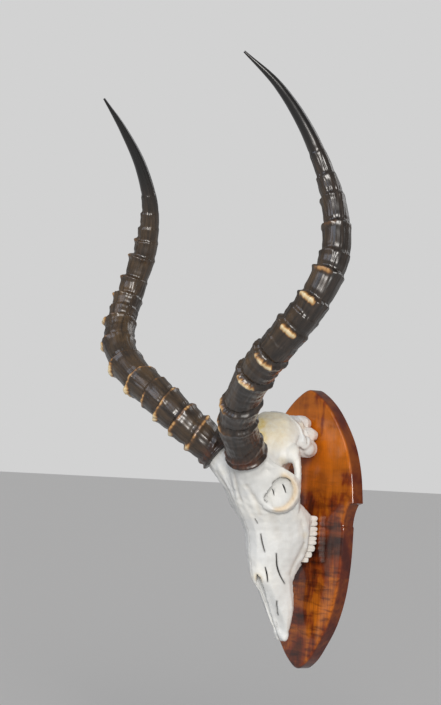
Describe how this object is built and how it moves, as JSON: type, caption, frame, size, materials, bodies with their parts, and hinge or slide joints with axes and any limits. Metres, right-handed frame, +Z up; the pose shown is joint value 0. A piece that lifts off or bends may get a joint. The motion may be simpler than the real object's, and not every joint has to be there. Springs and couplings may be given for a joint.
{
  "type": "impala skull mount",
  "caption": "European-mount impala skull with long ringed lyre-shaped horns and cheek teeth, without lower jaw, on a lacquered shield-shaped wall plaque.",
  "frame": {"origin": "middle of the plaque's flat back, which lies on the wall", "axes": "-Y points out of the wall towards the viewer, +Z up towards the horn tips with the nose pointing down, +X towards the animal's left"},
  "size_m": [0.4564, 0.2232, 0.6573],
  "materials": {
    "lacquered_wood": "figured hardwood under clear gloss lacquer",
    "bleached_bone": "bleached bone, dry and matt to satin",
    "horn_sheath": "keratin horn, satin between worn cream rings, polished tips",
    "tooth_enamel": "tooth enamel, satin"
  },
  "bodies": {
    "root": {"plaque": "lacquered_wood", "skull": "bleached_bone", "horn_left": "horn_sheath", "horn_right": "horn_sheath", "tooth_left_1": "tooth_enamel", "tooth_left_2": "tooth_enamel", "tooth_left_3": "tooth_enamel", "tooth_left_4": "tooth_enamel", "tooth_left_5": "tooth_enamel", "tooth_left_6": "tooth_enamel", "tooth_right_1": "tooth_enamel", "tooth_right_2": "tooth_enamel", "tooth_right_3": "tooth_enamel", "tooth_right_4": "tooth_enamel", "tooth_right_5": "tooth_enamel", "tooth_right_6": "tooth_enamel"}
  },
  "joints": []
}
